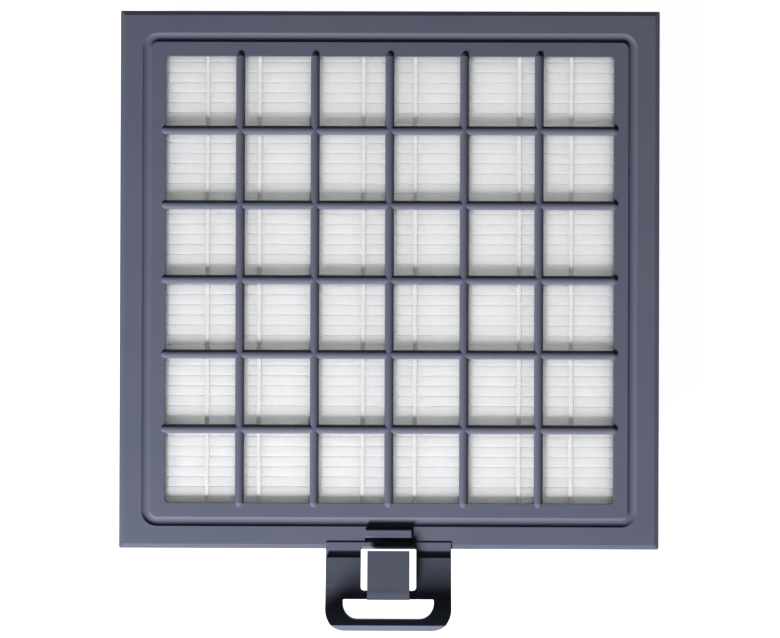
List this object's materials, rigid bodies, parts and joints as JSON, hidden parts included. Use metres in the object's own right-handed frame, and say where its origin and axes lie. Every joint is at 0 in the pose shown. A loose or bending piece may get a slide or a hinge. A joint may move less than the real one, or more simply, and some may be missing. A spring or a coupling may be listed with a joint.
{
  "type": "pleated exhaust filter cassette",
  "caption": "Square snap-in air filter cassette: moulded plastic frame with a half-round grille, white pleated filter pack behind it, and a curled pull tab with a latch tongue.",
  "frame": {"origin": "middle of the footprint, tab included, on the plane of the rear rim", "axes": "+Z out of the grille, +Y from the pull tab to the far edge, +X to the right seen from the grille"},
  "size_m": [0.1624, 0.1852, 0.036],
  "materials": {
    "frame_plastic": "slate-blue moulded plastic, satin",
    "filter_paper": "white fibre sheet, folded",
    "hot_melt": "milky glue threads",
    "potting_glue": "milky cast glue",
    "gasket_foam": "black closed-cell foam"
  },
  "bodies": {
    "root": {"cassette_frame": "frame_plastic", "pleated_media": "filter_paper", "left_end_seal": "potting_glue", "right_end_seal": "potting_glue", "top_edge_seal": "potting_glue", "bottom_edge_seal": "potting_glue", "flange_gasket": "gasket_foam", "front_separator_bead_1": "hot_melt", "front_separator_bead_2": "hot_melt", "front_separator_bead_3": "hot_melt", "front_separator_bead_4": "hot_melt", "front_separator_bead_5": "hot_melt", "front_separator_bead_6": "hot_melt", "front_separator_bead_7": "hot_melt", "front_separator_bead_8": "hot_melt", "rear_separator_bead_1": "hot_melt", "rear_separator_bead_2": "hot_melt", "rear_separator_bead_3": "hot_melt", "rear_separator_bead_4": "hot_melt", "rear_separator_bead_5": "hot_melt", "rear_separator_bead_6": "hot_melt", "rear_separator_bead_7": "hot_melt", "rear_separator_bead_8": "hot_melt"}
  },
  "joints": []
}
